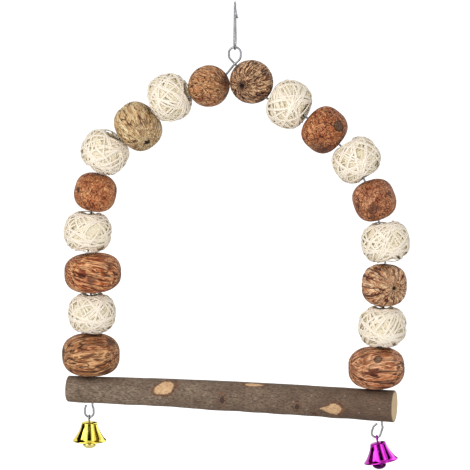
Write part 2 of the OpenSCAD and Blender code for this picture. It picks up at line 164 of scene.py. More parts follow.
# Painted white floor: matt. It glows a little to the camera alone, which makes it as white as
# the surroundings and adds no light to the swing.
floor_material, floor_tree, floor_out = new_material("painted_white_floor")
floor_rays = add(floor_tree, "ShaderNodeLightPath")
floor_paint = add(floor_tree, "ShaderNodeBsdfDiffuse", Color=linear("#f4f4f4"))
floor_lift = add(floor_tree, "ShaderNodeEmission", Color=(1, 1, 1, 1), Strength=0.7)
floor_dark = add(floor_tree, "ShaderNodeEmission", Color=(0, 0, 0, 1), Strength=0.0)
floor_mix = add(floor_tree, "ShaderNodeMixShader", n0=floor_rays.outputs["Is Camera Ray"],
                n1=floor_dark.outputs[0], n2=floor_lift.outputs[0])
floor_sum = add(floor_tree, "ShaderNodeAddShader", n0=floor_paint.outputs[0],
                n1=floor_mix.outputs[0])
floor_tree.links.new(floor_sum.outputs[0], floor_out.inputs["Surface"])
floor_z, floor_half = -0.42, 15
floor = sheet("floor", [(x * floor_half, y * floor_half, floor_z)
                        for x, y in ((-1, -1), (1, -1), (1, 1), (-1, 1))], floor_material)

# Cards beside the set, which only polished metal sees: black ones give it its dark streaks, and
# lit white ones its highlights. Each spans some degrees of a ring, counted from the front.
card_material, card_tree, card_out = new_material("black_card")
card_black = add(card_tree, "ShaderNodeBsdfDiffuse", Color=linear("#161616"))
card_tree.links.new(card_black.outputs[0], card_out.inputs["Surface"])
lit_material, lit_tree, lit_out = new_material("lit_white_card")
card_light = add(lit_tree, "ShaderNodeEmission", Color=(1, 1, 1, 1), Strength=2.6)
lit_tree.links.new(card_light.outputs[0], lit_out.inputs["Surface"])
card_ring, card_low, card_high = 2.2, -0.4, 5.0
card_spans = [(-112, -58, card_material), (-8, 32, card_material), (92, 118, card_material),
              (170, 190, card_material), (-46, -20, lit_material), (46, 62, lit_material),
              (140, 156, lit_material)]
for count, (start, end, card_finish) in enumerate(card_spans):
    card_edges = ((start, card_low), (start, card_high), (end, card_high), (end, card_low))
    card = sheet("card_%d" % count,
                 [(card_ring * math.sin(math.radians(way)),
                   -card_ring * math.cos(math.radians(way)), high) for way, high in card_edges],
                 card_finish)
    card.visible_camera = False
    card.visible_diffuse = False
    card.visible_shadow = False
    card.visible_transmission = False


# ------------------------------------------------------- arch wire and clip
# Drawn steel wire, left bright: one length is bent into the eye, the arch and
# the two lower loops, and a finer nickel-plated one into the sprung clip.

def wire_finish(name, colour, roughness):
    """Drawn wire: satin metal, grey rather than white, with duller patches of 3 mm that the
    drawing leaves."""
    material, tree, out = new_material(name)
    where = add(tree, "ShaderNodeTexCoord")
    streaks = add(tree, "ShaderNodeTexNoise", Vector=where.outputs["Object"], Scale=350.0,
                  Detail=2.0)
    tone = add(tree, "ShaderNodeMixRGB", Fac=streaks.outputs["Fac"],
               Color1=linear(colour), Color2=linear("#b4b5b8"))
    rough = add(tree, "ShaderNodeMapRange", Value=streaks.outputs["Fac"],
                To_Min=roughness - 0.06, To_Max=roughness + 0.1)
    shader = add(tree, "ShaderNodeBsdfPrincipled", Base_Color=tone.outputs[0], Metallic=1.0,
                 Roughness=rough.outputs[0])
    tree.links.new(shader.outputs[0], out.inputs["Surface"])
    return material


def finish_node(name, material):
    """Gives a CAD node's object one material in every slot."""
    made = frame["nodes"][name]
    if not made.material_slots:
        made.data.materials.append(material)
    for each in made.material_slots:
        each.material = material


drawn_steel = wire_finish("drawn_steel_wire", "#7c7e82", 0.24)
nickel_wire = wire_finish("nickel_plated_wire", "#97989b", 0.18)
finish_node("arch_wire", drawn_steel)
finish_node("hanger_clip", nickel_wire)


# --------------------------------------------------------------- vine balls
# Peeled vine, split flat and wound wet into a ball of many leaning rounds that
# pass over and under each other, and left to dry to a pale cream.

def grid_object(name, grids, closed, material, attributes=None):
    """One mesh from grids of points [u, v, 3] in metres. Each is joined round along v and, if
    closed, along u too. An attribute holds a field for each grid, of numbers or of vectors."""
    points, quads, start = [], [], 0
    for grid in grids:
        nu, nv = grid.shape[:2]
        a, b = np.meshgrid(np.arange(nu if closed else nu - 1), np.arange(nv), indexing="ij")
        a2, b2 = (a + 1) % nu, (b + 1) % nv
        corners = np.stack([a * nv + b, a2 * nv + b, a2 * nv + b2, a * nv + b2], axis=-1)
        quads.append(start + corners.reshape(-1, 4))
        points.append(grid.reshape(-1, 3))
        start += nu * nv
    quads = np.concatenate(quads)
    mesh = bpy.data.meshes.new(name)
    mesh.from_pydata(np.concatenate(points), [], quads.tolist())
    mesh.polygons.foreach_set("use_smooth", np.full(len(quads), True))
    for key, fields in (attributes or {}).items():
        kind, slot = ("FLOAT_VECTOR", "vector") if fields[0].ndim == 3 else ("FLOAT", "value")
        layer = mesh.attributes.new(key, kind, "POINT")
        values = np.concatenate([field.ravel() for field in fields])
        layer.data.foreach_set(slot, values.astype(np.float32))
    mesh.materials.append(material)
    return put(name, mesh)


def rounded(angle, across, along, power):
    """Distance from the middle to a rounded square's edge:
    (|cos / across| ^ p + |sin / along| ^ p) ^ (-1 / p)."""
    return ((np.abs(np.cos(angle)) / across) ** power
            + (np.abs(np.sin(angle)) / along) ** power) ** (-1 / power)


def bead_turn(axis):
    """Rotation about Y that takes +Z to a bead's axis, as a matrix whose columns are the bead's
    own axes."""
    turn = math.atan2(axis[0], axis[2])
    return np.array([[math.cos(turn), 0, math.sin(turn)],
                     [0, 1, 0],
                     [-math.sin(turn), 0, math.cos(turn)]])


spins = {j["child"]: j for j in frame["joints"]}


def set_bead(name, local):
    """Takes points in mm about the bead's middle, with its hole along Z, to their place on the
    wire."""
    joint = spins[name + "_body"]
    return (local @ bead_turn(joint["axis"]).T) * MM + np.array(joint["pos_m"])


# A ball's shell is a rounded square turned about the wire, 30 mm wide. At 6.5 mm from the wire it
# is 12.3 mm up from the middle, which gives the height of its pole.
ball_power, ball_half = 2.5, 15.0
face_from_wire, face_high = 6.5, 12.3
ball_pole = face_high / (1 - (face_from_wire / ball_half) ** ball_power) ** (1 / ball_power)

# Peeled vine, dried: creamy wood with a satin skin. The eye sees pale blotches about 8 mm wide,
# fine fibres 0.7 mm apart, and a darker, yellower colour on the rounds sunk deeper into the ball:
# painted shade inside the ball.
vine_material, vine_tree, vine_out = new_material("peeled_dried_vine")
vine_where = add(vine_tree, "ShaderNodeTexCoord")
vine_depth_shade = add(vine_tree, "ShaderNodeAttribute", {"attribute_name": "depth"})
vine_blotch = add(vine_tree, "ShaderNodeTexNoise", Vector=vine_where.outputs["Object"],
                  Scale=120.0, Detail=3.0)
vine_fibre = add(vine_tree, "ShaderNodeTexNoise", Vector=vine_where.outputs["Object"],
                 Scale=1400.0, Detail=2.0)
vine_pale = add(vine_tree, "ShaderNodeMixRGB", Fac=vine_blotch.outputs["Fac"],
                Color1=linear("#f4eadb"), Color2=linear("#e9dcc6"))
# painted shade: the deeper a round is sunk, the darker and yellower its colour
vine_colour = add(vine_tree, "ShaderNodeMixRGB", Fac=vine_depth_shade.outputs["Fac"],
                  Color1=vine_pale.outputs[0], Color2=linear("#e2d6b4"))
vine_bump = add(vine_tree, "ShaderNodeBump", Strength=0.25, Distance=0.0003,
                Height=vine_fibre.outputs["Fac"])
vine_shader = add(vine_tree, "ShaderNodeBsdfPrincipled", Base_Color=vine_colour.outputs[0],
                  Roughness=0.62, Normal=vine_bump.outputs[0])
vine_tree.links.new(vine_shader.outputs[0], vine_out.inputs["Surface"])


def ball_rounds(seed):
    """Rounds of split vine on a ball. Each is a great circle leaning by its own angle, laid on
    the rounded square's shell with a slow wander, sunk by a wave so that it dives under others,
    with an oval section. The inner rounds are the widest, and close the ball as the hidden
    winding of the real one does. The last three pass close round the wire, as a collar."""
    pick = np.random.default_rng(seed)
    inner, outer, collars = 18, 32, 3
    steps, sides = 84, 8
    inner_half_wide, half_thick = 2.1, 0.35
    least_sunk, most_dive = 0.37, 2.6
    highest = 12.1
    golden_share = 0.381966
    whole_turn = 6.28
    s = np.linspace(0, 2 * np.pi, steps, endpoint=False)
    section = np.linspace(0, 2 * np.pi, sides, endpoint=False)
    grids, depths = [], []
    for k in range(inner + outer):
        within = k < inner
        collar = k >= inner + outer - collars
        # the lean in degrees, short of upright, where a round would run into the wire
        if collar:
            lean = [63, 62, 60][k % 3]
        else:
            lean = [64, 48, 60, 30, 56, 62, 18, 42][k % 8] - pick.uniform(0, 6)
        lean = math.radians(min(lean, 52 if within else 62))
        turn = 2 * np.pi * (k * golden_share + pick.uniform(-0.04, 0.04))
        drift, phase = pick.uniform(0.05, 0.16), pick.uniform(0, whole_turn)
        wander = drift * np.sin(2 * s + phase) * np.cos(s) ** 2
        latitude = np.arcsin(np.clip(np.sin(lean) * np.sin(s), -1, 1)) + wander
        round_at = turn + np.unwrap(np.arctan2(np.cos(lean) * np.sin(s), np.cos(s)))
        # how deep it lies under the shell in mm, and how far it dives three times on its way
        base = 1.8 if within else 0.0 if collar else pick.uniform(0.0, 0.9)
        dive = (0.2 if collar else 0.5) * np.sin(3 * s + pick.uniform(0, whole_turn))
        sunk = least_sunk + np.clip(base + dive, 0, most_dive)
        reach = rounded(latitude, ball_half, ball_pole, ball_power)
        path = np.stack([reach * np.cos(latitude) * np.cos(round_at),
                         reach * np.cos(latitude) * np.sin(round_at),
                         reach * np.sin(latitude)], axis=1)
        # the way out of the shell is the slope of its formula, (r / half) ^ p + (|z| / pole) ^ p
        level, rise = path[:, :2], path[:, 2:]
        from_wire = np.linalg.norm(level, axis=1, keepdims=True)
        slope = ball_power - 1
        out = np.concatenate([level / from_wire * (from_wire / ball_half) ** slope / ball_half,
                              np.sign(rise) * (np.abs(rise) / ball_pole) ** slope / ball_pole],
                             axis=1)
        out /= np.linalg.norm(out, axis=1, keepdims=True)
        along = np.roll(path, -1, axis=0) - np.roll(path, 1, axis=0)
        across = np.cross(out, along)
        across /= np.linalg.norm(across, axis=1, keepdims=True)
        half_wide = inner_half_wide if within else pick.uniform(0.55, 0.95)
        middle = path - out * sunk[:, None]
        middle[:, 2] = np.clip(middle[:, 2], -highest, highest)
        grids.append(middle[:, None, :]
                     + across[:, None, :] * (half_wide * np.cos(section))[None, :, None]
                     + out[:, None, :] * (half_thick * np.sin(section))[None, :, None])
        # how deep each round lies, by which the vine's colour takes its painted shade
        depths.append(np.repeat(np.clip((sunk - 0.35) / 2.0, 0, 1)[:, None], sides, axis=1))
    return grids, depths


first_ball_seed = 40
for count, ball in enumerate(n for n in frame["nodes"] if "_ball_" in n):
    grids, depths = ball_rounds(first_ball_seed + count)
    piece = grid_object("woven_" + ball, [set_bead(ball, ring) for ring in grids], True,
                        vine_material, {"depth": depths})
    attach(piece, ball + "_body")
    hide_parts(ball)


# --------------------------------------------------------------------- nuts
# Dried nuts, drilled through: a hard shell under a fibrous skin whose veins
# run from the stem scar over the nut, pale on rust or tan, dark in the grooves.

def ripple(points, size, seed, waves=22):
    """Smooth noise: a sum of plane waves of about one size in many directions, scaled to about
    -1..1."""
    pick = np.random.default_rng(seed)
    ways = pick.normal(size=(waves, 3))
    ways /= np.linalg.norm(ways, axis=1, keepdims=True)
    lengths = size * pick.uniform(0.7, 1.5, waves)
    phases = pick.uniform(0, 2 * np.pi, waves)
    total = np.zeros(points.shape[:-1])
    for way, length, phase in zip(ways, lengths, phases):
        total += np.sin(points @ way * (2 * np.pi / length) + phase)
    return total / math.sqrt(waves) / 1.2


def nut_shell(name, look):
    """Dried nut shell, half matt: a mottled body under pale veins, with dark grooves, pits,
    patches and stains. They lie in coordinates in mm that run round the nut and away from its
    scar, so a scale of 0.4 gives a pattern of 2.5 mm. A vein or a groove is the line where a
    noise n crosses its middle, |n - 0.5| < w, drawn out along the nut; the furrows are
    |sin(k a + noise)| of the angle a round the scar. Real veins are about 0.3 mm wide, and are
    drawn twice as wide, so that they show."""
    strength = look["strength"]
    material, tree, out = new_material(name)
    grain, angle, stain, scar, star = (
        add(tree, "ShaderNodeAttribute", {"attribute_name": key})
        for key in ("grain", "about", "stain", "scar", "star"))
    # the body: a mottle of 1 mm, pushed about by up to 2 mm in a warp of 3 mm
    where = add(tree, "ShaderNodeMapping", Vector=grain.outputs["Vector"],
                Scale=(1.0, 1.0, look["drawn"]))
    warp = add(tree, "ShaderNodeTexNoise", Vector=where.outputs[0], Scale=0.35, Detail=1.0)
    bent = add(tree, "ShaderNodeVectorMath", {"operation": "MULTIPLY_ADD"},
               n0=warp.outputs["Color"], n1=(1.8, 1.8, 1.8), n2=where.outputs[0])
    mottle = add(tree, "ShaderNodeTexNoise", Vector=bent.outputs[0], Scale=1.0, Detail=4.0,
                 Roughness=0.7)
    spread = add(tree, "ShaderNodeMapRange", Value=mottle.outputs["Fac"],
                 From_Min=0.38, From_Max=0.62)
    colour = add(tree, "ShaderNodeMixRGB", Fac=spread.outputs[0],
                 Color1=linear(look["deep"]), Color2=linear(look["body"]))
    # where the veins and the grooves thin out, in places of 5 mm
    broken = add(tree, "ShaderNodeTexNoise", Vector=where.outputs[0], Scale=0.2, Detail=2.0)
    share = add(tree, "ShaderNodeMapRange", Value=broken.outputs["Fac"],
                From_Min=0.35, From_Max=0.55, To_Min=0.35)
    gap = add(tree, "ShaderNodeMapRange", Value=broken.outputs["Fac"],
              From_Min=0.64, From_Max=0.42, To_Min=0.3)

    def line(scale, offset, width, most, limit):
        """Lines where a noise crosses its middle, thinned out by a share."""
        moved = add(tree, "ShaderNodeVectorMath", {"operation": "ADD"},
                    n0=bent.outputs[0], n1=offset)
        noise = add(tree, "ShaderNodeTexNoise", Vector=moved.outputs[0], Scale=scale, Detail=1.5)
        off = add(tree, "ShaderNodeMath", {"operation": "SUBTRACT"},
                  n0=noise.outputs["Fac"], n1=0.5)
        off = add(tree, "ShaderNodeMath", {"operation": "ABSOLUTE"}, n0=off.outputs[0])
        mask = add(tree, "ShaderNodeMapRange", Value=off.outputs[0],
                   From_Min=width, From_Max=width / 4, To_Max=most)
        return add(tree, "ShaderNodeMath", {"operation": "MULTIPLY"},
                   n0=mask.outputs[0], n1=limit.outputs[0])

    veins_broad = line(0.4, (0, 0, 0), 0.065 + 0.03 * strength, 1.0, share)
    veins_fine = line(0.75, (9, 4, 7), 0.06 + 0.02 * strength, 0.85, share)
    for mask in (veins_fine, veins_broad):
        colour = add(tree, "ShaderNodeMixRGB", Fac=mask.outputs[0],
                     Color1=colour.outputs[0], Color2=linear(look["pale"]))
    # furrows, grooves, and pits of 0.6 mm
    wander = add(tree, "ShaderNodeMath", {"operation": "MULTIPLY"},
                 n0=warp.outputs["Fac"], n1=3.0)
    phase = add(tree, "ShaderNodeMath", {"operation": "MULTIPLY_ADD"},
                n0=angle.outputs["Fac"], n1=look["furrows"] / 2, n2=wander.outputs[0])
    wave = add(tree, "ShaderNodeMath", {"operation": "SINE"}, n0=phase.outputs[0])
    wave = add(tree, "ShaderNodeMath", {"operation": "ABSOLUTE"}, n0=wave.outputs[0])
    furrow = add(tree, "ShaderNodeMapRange", Value=wave.outputs[0],
                 From_Min=0.92, From_Max=0.985, To_Max=strength)
    furrow = add(tree, "ShaderNodeMath", {"operation": "MULTIPLY"},
                 n0=furrow.outputs[0], n1=gap.outputs[0])
    groove = line(0.36, (31, 17, 5), 0.04 + 0.012 * strength, 1.0, gap)
    pits = add(tree, "ShaderNodeTexNoise", Vector=bent.outputs[0], Scale=1.7, Detail=2.0)
    pit = add(tree, "ShaderNodeMapRange", Value=pits.outputs["Fac"],
              From_Min=0.42, From_Max=0.36, To_Max=0.55)
    for mask in (pit, groove, furrow):
        colour = add(tree, "ShaderNodeMixRGB", Fac=mask.outputs[0],
                     Color1=colour.outputs[0], Color2=linear(look["dark"]))
    # redder patches of 8 mm, then the marks, whose stains have a ragged edge
    patch = add(tree, "ShaderNodeTexNoise", Vector=where.outputs[0], Scale=0.13, Detail=3.0)
    patch_share = add(tree, "ShaderNodeMapRange", Value=patch.outputs["Fac"],
                      From_Min=0.5, From_Max=0.68, To_Max=0.5)
    colour = add(tree, "ShaderNodeMixRGB", {"blend_type": "MULTIPLY"},
                 Fac=patch_share.outputs[0], Color1=colour.outputs[0], Color2=linear("#a8694a"))
    ragged = add(tree, "ShaderNodeMath", {"operation": "MULTIPLY_ADD"},
                 n0=mottle.outputs["Fac"], n1=2.0, n2=-1.0)
    stained = add(tree, "ShaderNodeMath", {"operation": "ADD"},
                  n0=stain.outputs["Fac"], n1=ragged.outputs[0])
    stain_share = add(tree, "ShaderNodeMapRange", Value=stained.outputs[0],
                      From_Min=0.2, From_Max=0.8, To_Max=0.75)
    scar_wood = add(tree, "ShaderNodeMixRGB", Fac=spread.outputs[0],
                    Color1=linear("#3a291f"), Color2=linear("#7a6350"))
    marks = ((stain_share.outputs[0], linear("#4a2a20")),
             (scar.outputs["Fac"], scar_wood.outputs[0]),
             (star.outputs["Fac"], linear("#2c1a14")))
    for mark_share, tone in marks:
        colour = add(tree, "ShaderNodeMixRGB", Fac=mark_share,
                     Color1=colour.outputs[0], Color2=tone)
    # relief: veins stand up, grooves and furrows go down
    relief = add(tree, "ShaderNodeMath", {"operation": "SUBTRACT"},
                 n0=veins_broad.outputs[0], n1=groove.outputs[0])
    relief = add(tree, "ShaderNodeMath", {"operation": "SUBTRACT"},
                 n0=relief.outputs[0], n1=furrow.outputs[0])
    relief = add(tree, "ShaderNodeMath", {"operation": "ADD"},
                 n0=relief.outputs[0], n1=veins_fine.outputs[0])
    bump = add(tree, "ShaderNodeBump", Strength=0.8, Distance=0.0006, Height=relief.outputs[0])
    shader = add(tree, "ShaderNodeBsdfPrincipled", Base_Color=colour.outputs[0], Roughness=0.5,
                 Specular_IOR_Level=0.2, Normal=bump.outputs[0])
    tree.links.new(shader.outputs[0], out.inputs["Surface"])
    return material


def unit(v):
    """A vector over its length."""
    v = np.asarray(v, dtype=float)
    return v / np.linalg.norm(v)


def seen(across, high):
    """A direction from a nut's middle as the camera sees it: across to the right and up, as
    shares of the nut's outline, and towards the camera by what is left of the unit length."""
    near = math.sqrt(max(0.0, 1 - across ** 2 - high ** 2))
    return unit(across * right + high * up + near * back)


# Each nut's width and thickness as shares of the usual one, its shift from the wire as a share
# of the width, and the fullness of its outline; the colours of the ground, deep and body, of the
# veins, pale, and of the grooves, dark; the scar that the veins run from; how far the net of
# veins is drawn out along them, how many furrows there are and how strong they are; and marks as
# a kind, a direction and a spread.
usual_width, usual_thick = 28, 26
nuts = {
    "left_nut_1": dict(
        width=1.31, thick=1.02, shift=0.03, fullness=2.6,
        deep="#7a4422", body="#b87646", pale="#f4bd86", dark="#3e1e10",
        scar=seen(1, 0.14), drawn=0.22, furrows=34, strength=0.5,
        marks=[("stain", seen(0.73, 0.5), 0.3), ("stain", seen(0.6, -0.6), 0.3),
               ("stain", seen(-0.95, 0.1), 0.2), ("stain", seen(0.1, -0.9), 0.24)]),
    "left_nut_3": dict(
        width=1.29, thick=0.943, shift=-0.07, fullness=2.6,
        deep="#803216", body="#c46a34", pale="#febe86", dark="#42140a",
        scar=seen(-0.97, 0.22), drawn=0.25, furrows=26, strength=0.8,
        marks=[("stain", seen(-0.07, -0.25), 0.26), ("stain", seen(0.6, 0.2), 0.12),
               ("stain", seen(-0.2, 0.85), 0.14)]),
    "left_nut_5": dict(
        width=0.95, thick=0.906, shift=0, fullness=2.6,
        deep="#90421d", body="#c3703e", pale="#f6b37b", dark="#5a220a",
        scar=seen(0.2, 0.9), drawn=0.9, furrows=16, strength=0.1,
        marks=[("stain", seen(-0.8, 0.1), 0.2), ("stain", seen(-0.3, -0.75), 0.2),
               ("stain", seen(0.95, 0.1), 0.2)]),
    "left_nut_7": dict(
        width=1.12, thick=0.97, shift=-0.07, fullness=2.6,
        deep="#b28a56", body="#e9bd85", pale="#fae5b5", dark="#583818",
        scar=seen(0.37, -0.67), drawn=0.35, furrows=34, strength=0.35,
        marks=[("star", seen(0.37, -0.67), 0.16), ("stain", seen(1, 0.1), 0.2)]),
    "left_nut_9": dict(
        width=0.93, thick=1.0, shift=0, fullness=2.0,
        deep="#8f532b", body="#c88854", pale="#f1bf8c", dark="#48220f",
        scar=seen(0.8, -0.2), drawn=0.4, furrows=24, strength=0.3,
        marks=[("stain", seen(0.8, 0.2), 0.46), ("stain", seen(0.9, -0.4), 0.4),
               ("stain", seen(-0.97, 0), 0.15)]),
    "right_nut_1": dict(
        width=1.27, thick=0.99, shift=-0.13, fullness=2.6,
        deep="#8a4725", body="#c67a49", pale="#f8bc8e", dark="#451a0c",
        scar=seen(-0.97, -0.05), drawn=0.22, furrows=16, strength=0.9,
        marks=[("scar", seen(0.03, 0.33), 0.14), ("stain", seen(0.97, 0), 0.2)]),
    "right_nut_3": dict(
        width=1.01, thick=0.992, shift=0, fullness=2.6,
        deep="#ae7147", body="#e3a16e", pale="#fad7ab", dark="#5a2414",
        scar=seen(0.4, -0.13), drawn=0.3, furrows=15, strength=1.0,
        marks=[("star", seen(0.4, -0.13), 0.1)]),
    "right_nut_5": dict(
        width=0.95, thick=0.966, shift=0.06, fullness=2.6,
        deep="#834021", body="#b0673c", pale="#ecab7e", dark="#4c1c0c",
        scar=seen(0.3, 0.9), drawn=0.8, furrows=16, strength=0.1,
        marks=[("stain", seen(-0.05, -0.4), 0.36), ("stain", seen(0.65, 0.3), 0.16),
               ("stain", seen(-0.8, -0.25), 0.2)]),
    "right_nut_7": dict(
        width=1.03, thick=0.96, shift=0.04, fullness=2.6,
        deep="#7c321a", body="#b0602f", pale="#f0aa74", dark="#46160a",
        scar=seen(0.6, 0.13), drawn=0.8, furrows=16, strength=0.1,
        marks=[("scar", seen(0.6, 0.13), 0.22), ("stain", seen(-0.15, -0.85), 0.62)]),
    "right_nut_9": dict(
        width=0.97, thick=1.045, shift=0, fullness=2.0,
        deep="#4c2718", body="#8c502a", pale="#facb9c", dark="#24110a",
        scar=seen(-0.46, -0.22), drawn=0.3, furrows=30, strength=0.9,
        marks=[("stain", seen(-0.46, -0.22), 0.34), ("star", seen(-0.46, -0.22), 0.14),
               ("stain", seen(0.5, -0.75), 0.25)]),
}


def nut_grid(look, axis, sign, seed):
    """The nut's skin from one mouth of its hole to the other, then back through the hole. The
    skin is a rounded square turned about the hole; it is sunk by broad and fine noise, in the
    furrows |sin(k a + noise)| of the angle a round the scar, and at the marks. A star has a
    ragged edge, a scar a dark ring."""
    bore = 1.3
    down, around = 160, 210
    last_latitude = 1.48
    usual_half = 13
    a = np.linspace(0, 2 * np.pi, around, endpoint=False)
    lat, rnd = np.meshgrid(np.linspace(-last_latitude, last_latitude, down), a, indexing="ij")
    reach = rounded(lat, 1, 1, look["fullness"])
    flat = reach * np.cos(lat)
    width, thick = usual_width * look["width"], usual_thick * look["thick"]
    shape = np.stack([flat * np.cos(rnd) * width / 2, flat * np.sin(rnd) * width / 2,
                      reach * np.sin(lat) * thick / 2], axis=-1)
    way = shape / np.linalg.norm(shape, axis=-1, keepdims=True)
    world_way = way @ bead_turn(axis).T
    pole = look["scar"]
    side = unit(np.cross(pole, (0.13, 0.5, 0.86)))
    other = np.cross(pole, side)
    about = np.arctan2(world_way @ other, world_way @ side)
    from_scar = np.arccos(np.clip(world_way @ pole, -1, 1))
    broad = ripple(world_way * usual_half, 14, seed)
    fine = ripple(world_way * usual_half, 4.5, seed + 1)
    waves = np.abs(np.sin(look["furrows"] / 2 * about + 0.5 * fine + 0.5 * broad))
    furrow = look["strength"] * np.clip(waves * 5 - 4, 0, 1)
    fields = {kind: np.zeros_like(lat) for kind in ("stain", "scar", "star")}
    for kind, place, spread in look["marks"]:
        close = np.arccos(np.clip(world_way @ place, -1, 1)) / spread
        if kind == "stain":
            marks = {"stain": np.clip(1.2 - close / (1 + 0.3 * fine), 0, 1)}
        elif kind == "star":
            edge = 0.6 + 0.4 * np.abs(np.cos(2.5 * about)) + 0.15 * fine
            marks = {"star": np.clip((edge - close) * 5, 0, 1)}
        else:
            off_ring = np.abs(close - 1 - 0.12 * fine)
            marks = {"scar": np.clip((1 - close + 0.12 * fine) * 6, 0, 1) * 0.8,
                     "star": np.clip(1.4 - off_ring * 6, 0, 1) * 0.8}
        for key, mark in marks.items():
            fields[key] = np.maximum(fields[key], mark)
    dark = np.clip(fields["stain"] + fields["scar"] + fields["star"], 0, 1)
    # how far the skin is sunk, as a share of its way from the middle, and less towards the hole
    level = np.cos(lat)
    sink = 0.006 * (broad + 1) + 0.016 * furrow + 0.006 * (1 - fine) + 0.018 * dark
    sink = sink * (0.3 + 0.7 * level)
    skin = shape * (1 - np.clip(sink + 0.008 * level, 0.0195 * level, 0.08))[..., None]
    skin[..., 0] += usual_width * look["shift"] * sign
    # the hole: a ring at each mouth, and its wall between them
    mouths = [np.stack([bore * np.cos(a), bore * np.sin(a), np.full(around, high)], axis=-1)
              for high in (skin[-1, :, 2].min(), skin[0, :, 2].max())]
    points = np.concatenate([skin, mouths])
    drawn_in = usual_half * np.sin(from_scar) ** (0.25 + 0.75 * look["drawn"])
    fields["grain"] = np.stack([drawn_in * np.cos(about), drawn_in * np.sin(about),
                                usual_half * from_scar], axis=-1)
    fields["about"] = about
    return points, {key: [np.concatenate([field, field[-1:], field[:1]])]
                    for key, field in fields.items()}


def turn_sign(name):
    """The bead's own X points away from the arch on the left side and towards it on the right."""
    return 1 if name.startswith("left") else -1


first_nut_seed, seeds_apart = 100, 10
for count, (nut, look) in enumerate(nuts.items()):
    grid, fields = nut_grid(look, spins[nut + "_body"]["axis"], turn_sign(nut),
                            first_nut_seed + seeds_apart * count)
    shell = nut_shell("dried_shell_of_" + nut, look)
    piece = grid_object("shell_" + nut, [set_bead(nut, grid)], True, shell, fields)
    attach(piece, nut + "_body")
    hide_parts(nut)


# -------------------------------------------------------------------- perch
# A length of branch with its bark on, sawn off at both ends and drilled for the
# wire. Twigs have been trimmed off it, which leaves pale scars with a brown rim.

perch_low, perch_high = (np.array(v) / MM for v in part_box("perch"))
hole_left = spins["left_nut_1_body"]["pos_m"][0] / MM
hole_right = spins["right_nut_1_body"]["pos_m"][0] / MM
perch_from, perch_to = perch_low[0], perch_high[0]
perch_long = perch_to - perch_from
radius_left, radius_right = 8.6, 10.4
perch_top = -235.71
bow = 0.9


def perch_radius(x):
    """The branch swells evenly from its left end to its right one."""
    return radius_left + (radius_right - radius_left) * (x - perch_from) / perch_long


def perch_edge(x):
    """Height of the upper edge: level outside the wires, and a long low rise between them,
    bow sin(pi v ^ 0.8) of the share v of the way."""
    v = np.clip((x - hole_left) / (hole_right - hole_left), 0, 1)
    return perch_top + bow * np.sin(np.pi * v ** 0.8)


# Scars: place along the perch in mm from under the clip, angle up from the front, half length
# and half height in mm, how pale the wood in it is, how far it narrows to its left end, and its
# slope in degrees. One with little pale wood is a knot.
scars = [(-43.4, 32, 7.2, 5.2, 1.0, 0.25, 24), (-6.1, -6, 2.2, 4.0, 0.2, 0.0, 0),
         (12.8, 68, 6.6, 1.7, 1.0, 0.0, 0), (41.2, -16, 2.2, 3.4, 0.0, 0.0, -10),
         (51.5, -42, 2.4, 1.6, 0.2, 0.0, 0), (61.5, -14, 8.2, 4.6, 0.85, 0.85, 0),
         (-16.0, -86, 5.5, 3.2, 0.25, 0.0, 0), (-62.0, 165, 3.2, 2.6, 0.4, 0.3, 0)]

# The bark is a tube round the perch's axis, px along it in mm and pa round it from the front. It
# is sunk by fibres, an oval that turns along the branch, lumps and knobs, and swells at scars.
along_steps, around_steps = 500, 120
x_line = np.linspace(perch_from, perch_to, along_steps)
turn_line = np.linspace(0, 2 * np.pi, around_steps, endpoint=False)
px, pa = np.meshgrid(x_line, turn_line, indexing="ij")
pr = perch_radius(px)
tube = np.stack([px, -pr * np.cos(pa), pr * np.sin(pa)], axis=-1)
grain = ripple(tube * (0.12, 1, 1), 2.4, 7, 30)
fine_grain = ripple(tube * (0.2, 1, 1), 1.3, 8, 30)
lumps = ripple(tube, 30, 9)
knobs = ripple(tube, 14, 10)
rough_edge = 1 + 0.1 * ripple(tube, 7, 11) + 0.06 * ripple(tube, 2.2, 12)
scar_pale, scar_ring, knot, swell = (np.zeros_like(px) for _ in range(4))
for (sx, sa, half_long, half_high, pale, narrow, slope) in scars:
    rise = np.radians((np.degrees(pa) - sa + 540) % 360 - 180) * pr
    c, s = math.cos(math.radians(slope)), math.sin(math.radians(slope))
    u = ((px - sx) * c + rise * s) / half_long
    v = (rise * c - (px - sx) * s) / half_high
    d = np.hypot(u, v / (1 - narrow * np.clip(0.35 - u, 0, 1.1))) * rough_edge
    if pale < 0.5:
        knot = np.maximum(knot, np.clip((0.75 - d) * 5, 0, 1))
    else:
        scar_pale = np.maximum(scar_pale, pale * np.clip((1.0 - d) * 6, 0, 1))
    scar_ring = np.maximum(scar_ring, np.clip(1.3 - np.abs(d - 1.1) * 5, 0, 1))
    swell = np.maximum(swell, 0.03 * np.exp(-d ** 2))
oval = 0.01 * (1 - np.cos(2 * pa + 2 * np.pi * (px - perch_from) / perch_long))
knobbly = 0.02 * (1 - knobs) * (1 - np.sin(pa)) / 2
shrink = 1 - np.clip(0.012 + 0.006 * (1 - grain) + 0.004 * (1 - fine_grain) + oval
                     + 0.006 * (1 - lumps) + knobbly - swell, 0.0, 0.12)
# the saw leaves a rounded rim 0.5 mm wide round each end
edge_in = np.minimum(px - perch_from, perch_to - px)
rim_round = 0.5
rim = np.sqrt(np.clip(edge_in / rim_round, 0, 1))
shrink = shrink * (0.955 + 0.045 * rim)
mid_height = perch_edge(px) - pr
bark_points = np.stack([px, -pr * shrink * np.cos(pa), mid_height + pr * shrink * np.sin(pa)],
                       axis=-1)


def sawn_end(ring, rings):
    """A flat end: the last ring drawn in to the middle in even steps, for the year rings to lie
    on."""
    middle = ring.mean(axis=0)
    share = np.linspace(1, 0.02, rings)[1:, None, None]
    return middle + (ring - middle) * share


end_rings = 9
left_end = sawn_end(bark_points[0], end_rings)[::-1]
right_end = sawn_end(bark_points[-1], end_rings)
points = np.concatenate([left_end, bark_points, right_end])


